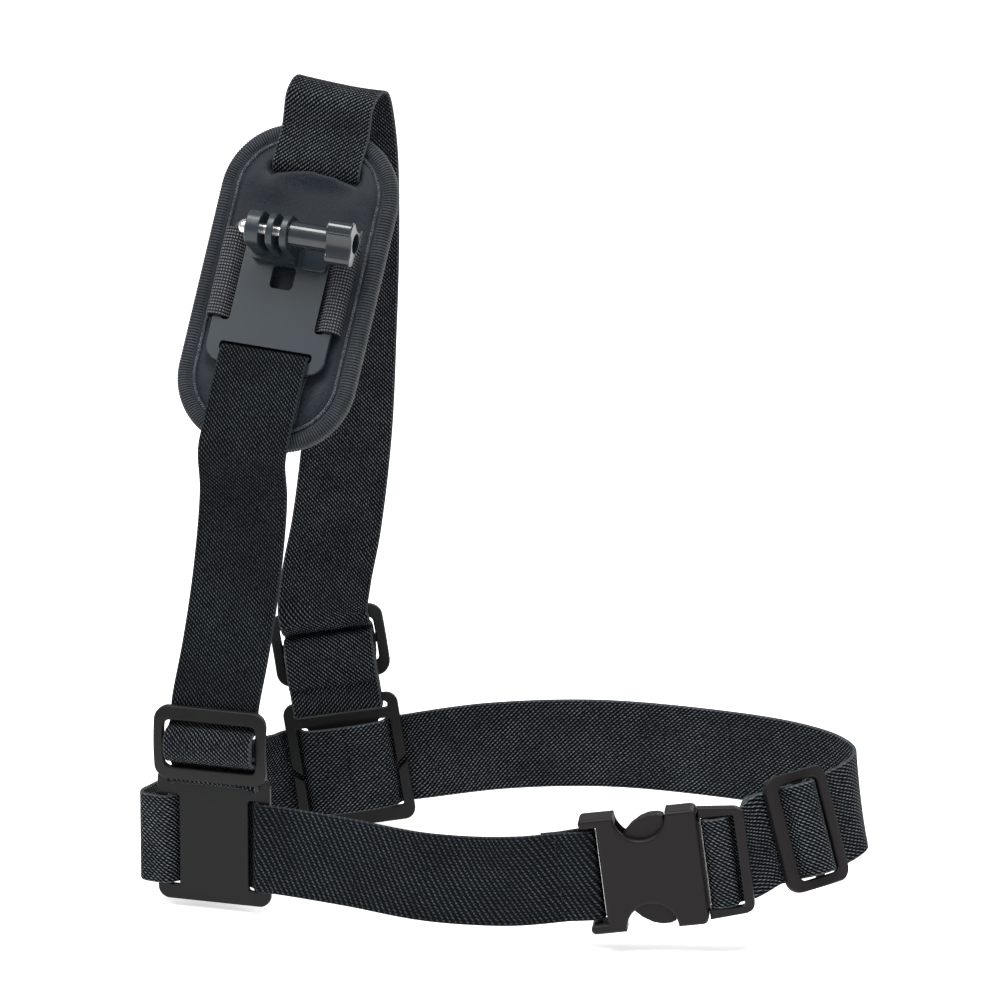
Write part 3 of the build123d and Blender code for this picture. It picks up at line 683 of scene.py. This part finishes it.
def cords(u, s):
    """Relief of the ribbed webbing: rounded cords, each notched across in step with its dashes."""
    cord = np.abs(np.cos(math.pi * u / CORD_PITCH))
    dash = np.sin(2 * math.pi * s / DASH_PITCH)
    return CORD_HEIGHT * cord**0.7 - CORD_SINK + DASH_HEIGHT * dash * cord


def between(strap, station):
    """The sample halfway from a station to the next, where a bar or a plate hides the cut."""
    return (strap.at[station] + strap.at[station + 1]) // 2


def declare(
    strap, name, first, last, replaced, finish=WEBBING, relief=None
):
    """A piece of a strap, with the CAD nodes that it replaces hidden."""
    made = strap.piece(name, first, last, finish, relief)
    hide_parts(*replaced)
    strap.length(first, last) * MM
    return made


def at(plane, x, y):
    """A point of a fitting's own plane, in metres."""
    return tuple(plane.at(x, y, 0.0) * MM)


# Heights up from a slider's middle, given to at() below; the points made from them are not used
ABOVE = 16.0
RUN_IN = 80.0
BELT_RUN_IN = 60.0
BELOW = -10.6
HOOK_EDGE = -15.0
BELT_EDGE = -27.0
# Distances along from each fitting's middle, given to at() below; the points made from them are not used
PLATE_SIDE = 30.0
SOCKET_SIDE = -30.0
# The station of SLIDER_SEWN just before which a loop ends and its tail begins, over the bar
SEWN_CUT = 6
# The station of PLATE_WEAVE just after which the belt's pieces meet, behind the plate
WEAVE_CUT = 2

# Front strap
n_front = len(MOUNT_LOOP) + len(FRONT_FREE)
front_cut = between(front, n_front)
front_sewn = between(front, n_front + len(SLIDER_BIGHT) + len(HOOK_TURN) + SEWN_CUT - 1)
front_end = len(front.p) - 1
# The front strap takes the darker copy of the webbing, as painted shade
front_webbing = declare(
    front, "front_strap_webbing", 0, front_cut,
    ["front_strap"], finish=SHADED_WEBBING,
)
front_loop = declare(
    front, "front_adjuster_webbing", front_cut, front_sewn,
    ["front_strap_adjuster"],
)
front_tail = declare(front, "front_adjuster_tail", front_sewn, front_end, [])
at(FRONT_SLIDER, 0, RUN_IN)
at(FRONT_SLIDER, 0, ABOVE)
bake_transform(front_webbing)
at(FRONT_SLIDER, 0, HOOK_EDGE)
at(FRONT_SLIDER, 0, BELOW)
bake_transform(front_loop)
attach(front_tail, "front_slider")

# Shoulder strap
n_shoulder = len(SLIT_RUN) + len(ARCH) + len(REAR_FREE)
rear_cut = between(shoulder, n_shoulder)
rear_sewn = between(shoulder, n_shoulder + len(SLIDER_BIGHT) + len(HOOK_TURN) + SEWN_CUT - 1)
rear_end = len(shoulder.p) - 1
shoulder_webbing = declare(
    shoulder, "shoulder_strap_webbing", shoulder.at[1], rear_cut,
    ["shoulder_strap_front", "shoulder_strap_rear"],
)
rear_loop = declare(
    shoulder, "rear_adjuster_webbing", rear_cut, rear_sewn,
    ["rear_strap_adjuster"],
)
rear_tail = declare(shoulder, "rear_adjuster_tail", rear_sewn, rear_end, [])
at(REAR_SLIDER, 0, RUN_IN)
at(REAR_SLIDER, 0, ABOVE)
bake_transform(shoulder_webbing)
at(REAR_SLIDER, 0, HOOK_EDGE)
at(REAR_SLIDER, 0, BELOW)
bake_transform(rear_loop)
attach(rear_tail, "rear_slider")

# Belt
n_fold = len(SOCKET_FOLD)
n_front_run = n_fold + len(BELT_FRONT)
n_left = n_front_run + len(PLATE_WEAVE) + len(LEFT_TURN)
n_rear = n_left + len(PLATE_WEAVE)
n_adjuster = n_rear + len(BELT_REAR)
n_wrap = n_adjuster + len(SLIDER_BIGHT) + 1
n_back = n_wrap + len(PLUG_WRAP) + 1
belt_a = between(belt, n_front_run + WEAVE_CUT)
belt_b = between(belt, n_left + WEAVE_CUT)
belt_c = between(belt, n_adjuster)
belt_d = between(belt, n_back + SEWN_CUT - 1)
belt_end = len(belt.p) - 1
belt_front = declare(
    belt, "belt_front_webbing", 0, belt_a,
    ["belt_socket_fold", "belt_front_run"], finish=OUTER_BELTING,
)
belt_left = declare(
    belt, "belt_left_webbing", belt_a, belt_b,
    ["belt_front_crossing", "belt_left_turn"], finish=BELTING,
)
belt_rear = declare(
    belt, "belt_rear_webbing", belt_b, belt_c,
    ["belt_rear_crossing", "belt_rear_run"], finish=BELTING,
)
belt_loop = declare(
    belt, "belt_adjuster_webbing", belt_c, belt_d,
    ["belt_adjuster"], finish=BELTING,
)
belt_tail = declare(
    belt, "belt_adjuster_tail", belt_d, belt_end, [], finish=BELTING,
)
at(FRONT_HOOK, PLATE_SIDE, 0)
at(BUCKLE, SOCKET_SIDE, 0)
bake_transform(belt_front)
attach(belt_left, "root")
at(BELT_SLIDER, 0, BELT_RUN_IN)
at(BELT_SLIDER, 0, ABOVE)
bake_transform(belt_rear)
at(BELT_SLIDER, 0, BELT_EDGE)
at(BELT_SLIDER, 0, BELOW)
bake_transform(belt_loop)
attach(belt_tail, "belt_slider")


# ---------------------------------------------------------------- pad

def ring(inset, step):
    """Points and outward directions round the pad's outline, inset by so much, in the pad's plane."""
    width, height, radius = PAD_W - 2 * inset, PAD_H - 2 * inset, PAD_R - inset
    corners = []
    for turn, (sx, sy) in enumerate(((1, 1), (-1, 1), (-1, -1), (1, -1))):
        centre = np.array((sx * (width / 2 - radius), sy * (height / 2 - radius)))
        for q in np.linspace(0, 90, max(8, int(radius * math.pi / 2 / step))):
            r = math.radians(90 * turn + q)
            d = np.array((math.cos(r), math.sin(r)))
            corners.append((centre + radius * d, d))
    points, outs = [], []
    for i, (p, d) in enumerate(corners):
        q, e = corners[(i + 1) % len(corners)]
        count = max(1, int(np.linalg.norm(q - p) / step))
        for k in np.linspace(0, 1, count, endpoint=False):
            points.append(p + (q - p) * k)
            outs.append(unit(d + (e - d) * k))
    return np.array(points), np.array(outs)


def ring_length(points):
    """The length so far at each point of a closed ring, and the length all round."""
    so_far = np.concatenate([[0], np.cumsum(np.linalg.norm(np.diff(points, axis=0), axis=1))])
    return so_far, so_far[-1] + np.linalg.norm(points[0] - points[-1])


def slit_outline():
    """The slit, with both of its edges bowed up."""
    q = np.linspace(-1, 1, SLIT_POINTS)
    edges = ((SLIT_LOW, SLIT_LOW_BOW, q), (SLIT_HIGH, SLIT_HIGH_BOW, -q))
    return np.array([
        (SLIT_X + SLIT_HALF * k, y + bow * (1 - k * k)) for y, bow, across in edges for k in across
    ])


def slab(outline, hole, top, bottom, floor):
    """A flat slab with a blind hole in its top, as vertices and faces in the pad's plane."""
    n, m = len(outline), len(hole)
    vertices = np.concatenate([
        np.column_stack([points, np.full(len(points), z)])
        for points, z in ((outline, top), (outline, bottom), (hole, top), (hole, floor))
    ])
    flat = [[Vector((*p, 0)) for p in outline], [Vector((*p, 0)) for p in hole]]
    index = list(range(n)) + list(range(2 * n, 2 * n + m))
    faces = [tuple(index[k] for k in t) for t in tessellate_polygon(flat)]
    faces.append(tuple(range(n, 2 * n)))
    faces.append(tuple(range(2 * n + m, 2 * n + 2 * m)))
    faces += [(k, (k + 1) % n, n + (k + 1) % n, n + k) for k in range(n)]
    faces += [
        (2 * n + k, 2 * n + (k + 1) % m, 2 * n + m + (k + 1) % m, 2 * n + m + k) for k in range(m)
    ]
    return vertices, faces


# Core: a slab remeshed fine and blown up a little, as cloth over foam
CORE_IN = 1.1
SWELL_CAP = 0.6 * MM
SWELL_FRAMES = 20
SWELL_PRESSURE = 4.0
outline, _ = ring(CORE_IN, 1.5)
corners, faces = slab(outline, slit_outline(), PAD_T / 2, -PAD_T / 2, SLIT_FLOOR)
pad = piece_from("pad", [PAD.at(*c) for c in corners], faces, PAD_CLOTH)
remesh = pad.modifiers.new("remesh", "REMESH")
remesh.mode = "VOXEL"
remesh.voxel_size = 1.4 * MM


def applied(obj):
    """Replaces obj's mesh by what its modifiers make of it."""
    graph = bpy.context.evaluated_depsgraph_get()
    made = bpy.data.meshes.new_from_object(obj.evaluated_get(graph))
    obj.modifiers.clear()
    obj.data = made
    return obj


def coordinates(mesh):
    co = np.zeros(len(mesh.vertices) * 3, np.float32)
    mesh.vertices.foreach_get("co", co)
    return co.reshape(-1, 3).astype(float)


def set_coordinates(mesh, co):
    mesh.vertices.foreach_set("co", co.astype(np.float32).ravel())
    mesh.update()


applied(pad)
at_rest = coordinates(pad.data)
cloth_sim = pad.modifiers.new("cloth", "CLOTH")
cloth_sim.settings.use_pressure = True
cloth_sim.settings.uniform_pressure_force = SWELL_PRESSURE
cloth_sim.settings.effector_weights.gravity = 0.0
cloth_sim.settings.quality = 5
cloth_sim.point_cache.frame_start = 1
cloth_sim.point_cache.frame_end = SWELL_FRAMES
for tick in range(1, SWELL_FRAMES + 1):
    bpy.context.scene.frame_set(tick)
applied(pad)
bpy.context.scene.frame_set(1)
moved = coordinates(pad.data) - at_rest
size = np.linalg.norm(moved, axis=1, keepdims=True)
set_coordinates(pad.data, at_rest + moved * np.minimum(1.0, SWELL_CAP / np.maximum(size, TINY)))

smoother = pad.modifiers.new("smooth", "SMOOTH")
smoother.factor = 0.5
smoother.iterations = 4
refine = pad.modifiers.new("refine", "SUBSURF")
refine.levels = refine.render_levels = 1
applied(pad)

# Relief of both faces, from how far in from the edge each point is
GROOVE_DEPTH, GROOVE_WIDTH = 0.7, 1.5
PLUMP_HEIGHT, PLUMP_IN, PLUMP_WIDTH, BACK_PLUMP = 0.5, 5.5, 3.2, 0.6
# The mount plate presses the padding flat within FLAT_X and FLAT_Y of its middle
FLAT_X, FLAT_Y, FLAT_FADE_X, FLAT_FADE_Y = 24, 38, 5, 6
# The slit's lower edge, below LIP_TOP, is drawn up and out over the strap
LIP_Y, LIP_WIDTH, LIP_TOP, LIP_UP, LIP_OUT = 47.2, 3.6, 48.6, 2.0, 2.1
# Swellings below the slit's two ends: height, then middle and width along x and y
SWELLINGS = ((1.5, -17, 9, 41, 7), (0.9, 22, 6, 38, 8))

pad_axes = np.stack([PAD.x, PAD.y, PAD.z])
local = (coordinates(pad.data) / MM - PAD.o) @ pad_axes.T
front_side = np.clip(local[:, 2] / (PAD_T / 2), 0, 1) ** 2
back_side = np.clip(-local[:, 2] / (PAD_T / 2), 0, 1) ** 2
edge_x = PAD_W / 2 - np.abs(local[:, 0])
edge_y = PAD_H / 2 - np.abs(local[:, 1])
corner = np.hypot(np.maximum(PAD_R - edge_x, 0), np.maximum(PAD_R - edge_y, 0))
inset = np.where((edge_x < PAD_R) & (edge_y < PAD_R), PAD_R - corner, np.minimum(edge_x, edge_y))
groove = -GROOVE_DEPTH * bell(inset - TOPSTITCH_IN, GROOVE_WIDTH)
plump = PLUMP_HEIGHT * bell(inset - TOPSTITCH_IN - PLUMP_IN, PLUMP_WIDTH)
beside_plate = np.clip((np.abs(local[:, 0] - MOUNT_X) - FLAT_X) / FLAT_FADE_X, 0, 1)
beyond_plate = np.clip((np.abs(local[:, 1]) - FLAT_Y) / FLAT_FADE_Y, 0, 1)
lip = np.clip(1 - ((local[:, 0] - SLIT_X) / SLIT_HALF) ** 2, 0, 1) * bell(local[:, 1] - LIP_Y, LIP_WIDTH)
lip = front_side * np.where(local[:, 1] < LIP_TOP, lip, 0)
local[:, 1] += LIP_UP * lip
local[:, 2] += LIP_OUT * lip
swelling = sum(
    height * bell(local[:, 0] - x, wide) * bell(local[:, 1] - y, tall)
    for height, x, wide, y, tall in SWELLINGS
)
plump_clear = plump * np.clip(beside_plate + beyond_plate, 0, 1)
local[:, 2] += front_side * (groove + plump_clear + swelling)
local[:, 2] -= back_side * (groove + BACK_PLUMP * plump)
set_coordinates(pad.data, (PAD.o + local @ pad_axes) * MM)
pad.data.materials.clear()
pad.data.materials.append(PAD_CLOTH)
pad.data.shade_smooth()
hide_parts("pad_body")
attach(pad, "root")

# Ribbed tape folded round the edge
points, outs = ring(0.0, 0.2)
runs, round_edge = ring_length(points)
ribs = round(round_edge / RIB_PITCH)
# The tape's section, as (out from the pad's edge, up from its middle), and which part of it has ribs
TAPE = np.array([
    (-5.4, -2.7), (-5.2, -2.95), (-4.4, -3.3), (-3.2, -3.6), (-2.0, -3.6), (-1.0, -3.2), (-0.3, -2.5),
    (0.1, -1.5), (0.15, 0.0), (0.1, 1.5), (-0.2, 2.6), (-0.9, 3.5), (-1.9, 4.05), (-2.9, 4.2),
    (-3.9, 4.05), (-4.9, 3.6), (-5.6, 3.05), (-5.9, 2.6), (-5.6, 2.4), (-4.0, 2.4), (-2.2, 2.4),
    (-1.1, 2.0), (-0.95, 0.0), (-1.1, -2.0), (-2.4, -2.5), (-4.2, -2.5),
])
TAPE_RIBBED = slice(1, 17)
proud = np.zeros(len(TAPE))
proud[TAPE_RIBBED] = 1.0
tape_out = unit(np.roll(TAPE, 1, axis=0) - np.roll(TAPE, -1, axis=0))[:, ::-1] * np.array((-1, 1))
tape_rings = []
for p, d, run in zip(points, outs, runs):
    rib = abs(math.sin(math.pi * ribs * run / round_edge)) ** RIB_ROUNDNESS - RIB_SINK
    shape = TAPE + tape_out * (proud * RIB_HEIGHT * rib)[:, None]
    tape_rings.append(np.array([PAD.at(*(p + d * out), z) for out, z in shape]))
rib_coords = [(out * MM, ribs * run / round_edge) for run in runs for out in TAPE[:, 0]]
binding = piece_from("binding", *loft(tape_rings, closed=True), BINDING, rib_coords)
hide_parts("pad_binding")
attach(binding, "root")

# Topstitch on both faces: two strands twisted round each other
STRAND_R = 0.4
STRAND_LIFT, STRAND_UP, STRAND_OUT = 0.3, 0.36, 0.4
points, outs = ring(TOPSTITCH_IN, 0.26)
runs, round_stitch = ring_length(points)
twists = round(round_stitch / TOPSTITCH_PITCH)
strands = []
for face in (1, -1):
    for start in (0.0, math.pi):
        line = []
        for p, d, run in zip(points, outs, runs):
            r = start + 2 * math.pi * twists * run / round_stitch
            lift = PAD_T / 2 + STRAND_LIFT + STRAND_UP * math.sin(r)
            line.append(PAD.at(*(p + d * STRAND_OUT * math.cos(r)), face * lift))
        strands.append(loft(tube(line, STRAND_R, 7, up=PAD.z, closed=True), closed=True))
topstitch = joined("topstitch", strands, THREAD)
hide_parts("pad_topstitch")
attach(topstitch, "root")

pad_grip = declare(
    grip, "pad_grip_webbing", 0, len(grip.p) - 1, ["pad_webbing"],
    finish=RIBBED, relief=cords,
)
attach(pad_grip, "root")


# ---------------------------------------------------------------- stitching

def seam(name, rows, body):
    made = joined(name, [s for row in rows for s in row], SEAM_THREAD)
    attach(made, body)


# The fold is sewn through near its free end, and the mount's loop on the wearer's side
FOLD_SEAM_STATION, FOLD_SEAM_PAST = 9, 1.5
LOOP_SEAM_STATION, LOOP_SEAM_BEFORE = 1, 3.0
fold_seam = belt.s[belt.at[FOLD_SEAM_STATION]] + FOLD_SEAM_PAST
loop_seam = front.s[front.at[LOOP_SEAM_STATION]] - LOOP_SEAM_BEFORE
seam("socket_fold_seam", [row_across(belt, fold_seam, side) for side in (1, -1)], "buckle_socket")
seam("mount_loop_seam", [row_across(front, loop_seam, 1)], "root")


# ---------------------------------------------------------------- floor, lights and camera

FLOOR_GAP = 0.6 * MM
bpy.ops.mesh.primitive_plane_add(size=30, location=(0, 0, CAD_BOX[0][2] - FLOOR_GAP))
floor = bpy.context.object
floor.name = "floor"
pale = Finish("pale_floor", (0.93, 0.93, 0.93), 0.9, specular=0.1)
pale.colour(pale.noise(pale.place(), 4.0), (0.925, 0.925, 0.925), (0.935, 0.935, 0.935))
pale.shader.inputs["Emission Color"].default_value = (1, 1, 1, 1)
pale.shader.inputs["Emission Strength"].default_value = 0.4
floor.data.materials.append(pale.material)

world = bpy.data.worlds.new("studio")
bpy.context.scene.world = world
world.use_nodes = True
sky = world.node_tree.nodes["Background"]
sky.inputs[0].default_value = (1, 1, 1, 1)
sky.inputs[1].default_value = 0.55

TARGET = np.array((0.0807, -0.044, -0.1566))


def area_light(name, place, size, power):
    """A rectangular light aimed at TARGET, in metres and watts."""
    data = bpy.data.lights.new(name, "AREA")
    data.shape = "RECTANGLE"
    data.size, data.size_y = size
    data.energy = power
    made = bpy.data.objects.new(name, data)
    bpy.context.scene.collection.objects.link(made)
    made.location = Vector(place)
    made.rotation_mode = "QUATERNION"
    made.rotation_quaternion = (Vector(TARGET) - Vector(place)).to_track_quat("-Z", "Y")


area_light("key", (-0.9, -0.9, 1.2), (0.7, 0.7), 19)
area_light("fill", (1.3, -0.9, 0.5), (0.5, 1.0), 6)
area_light("top", (0.1, -0.35, 1.4), (1.0, 0.6), 34)
area_light("rim", (0.6, 1.3, 0.6), (1.2, 0.6), 9)
bpy.context.scene.view_settings.view_transform = "Standard"

AZIMUTH, ELEVATION, DISTANCE, LENS = math.radians(18.0), math.radians(16.0), 3.5, 308.75
camera_data = bpy.data.cameras.new("camera")
camera_data.lens = LENS
camera_data.sensor_width = 36.0
camera_data.clip_start, camera_data.clip_end = 0.05, 60.0
camera = bpy.data.objects.new("camera", camera_data)
bpy.context.scene.collection.objects.link(camera)
level = math.cos(ELEVATION)
back = np.array((math.sin(AZIMUTH) * level, -math.cos(AZIMUTH) * level, math.sin(ELEVATION)))
camera.location = Vector(TARGET + back * DISTANCE)
camera.rotation_mode = "QUATERNION"
camera.rotation_quaternion = Vector(-back).to_track_quat("-Z", "Y")
bpy.context.scene.camera = camera
